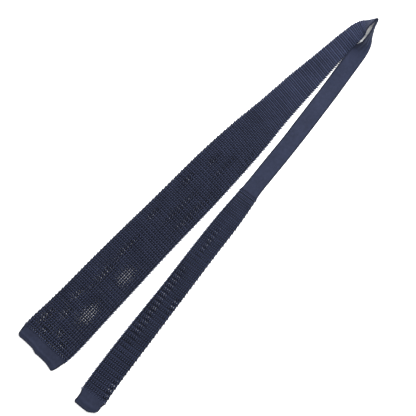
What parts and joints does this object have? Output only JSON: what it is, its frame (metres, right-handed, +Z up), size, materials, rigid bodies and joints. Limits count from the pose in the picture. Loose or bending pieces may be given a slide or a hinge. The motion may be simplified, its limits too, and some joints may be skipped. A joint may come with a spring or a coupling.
{
  "type": "knitted necktie",
  "caption": "Square-ended open-mesh knitted necktie laid out flat, its plain neckband bent on edge between a wide front blade and a narrow tail.",
  "frame": {"origin": "middle of the bounding box's underside, on the table", "axes": "+Z up, +Y along the tie towards the neck bend, +X from the front blade towards the tail"},
  "size_m": [0.1598, 0.6934, 0.0255],
  "materials": {
    "navy_mesh_knit": "open-mesh knit, matt with a soft sheen",
    "navy_dense_knit": "close knit, matt",
    "neckband_knit": "fine close knit, soft sheen",
    "seam_thread": "twisted sewing thread",
    "stay_tape": "plain woven tape",
    "blank_label": "plain satin ribbon with nothing on it"
  },
  "bodies": {
    "front": {"front_blade_upper": "navy_mesh_knit", "front_back_seam_upper": "seam_thread", "front_join_seam": "seam_thread", "neckband_bend": "neckband_knit", "stay_tape_bend": "stay_tape"},
    "front_end": {"front_blade_lower": "navy_mesh_knit", "front_hem_cuff": "navy_dense_knit", "front_back_seam_lower": "seam_thread", "front_seam_tack": "seam_thread", "front_hem_stitches": "seam_thread", "keeper_loop": "navy_dense_knit", "keeper_tack_outer": "seam_thread", "keeper_tack_inner": "seam_thread"},
    "neckband": {"neckband_long": "neckband_knit", "stay_tape_long": "stay_tape", "tail_join_seam": "seam_thread", "tail_blade_upper": "navy_mesh_knit", "tail_back_seam_upper": "seam_thread"},
    "tail_end": {"tail_blade_lower": "navy_mesh_knit", "tail_hem_cuff": "navy_dense_knit", "tail_back_seam_lower": "seam_thread", "tail_seam_tack": "seam_thread", "tail_hem_stitches": "seam_thread", "care_label": "blank_label", "care_label_stitches": "seam_thread"}
  },
  "joints": [
    {"name": "neck_bend_opens", "type": "hinge", "parent": "front", "child": "neckband", "pos_m": [0.01127, 0.34696, 0], "axis": [0, 0, 1], "range_deg": [0, 120]},
    {"name": "front_blade_folds", "type": "hinge", "parent": "front", "child": "front_end", "pos_m": [-0.02433, -0.02869, 0.0043], "axis": [-0.9976, 0.0691, 0], "range_deg": [0, 170]},
    {"name": "tail_folds", "type": "hinge", "parent": "neckband", "child": "tail_end", "pos_m": [0.04239, -0.05952, 0.0043], "axis": [-0.9974, -0.0722, 0], "range_deg": [0, 160]}
  ]
}
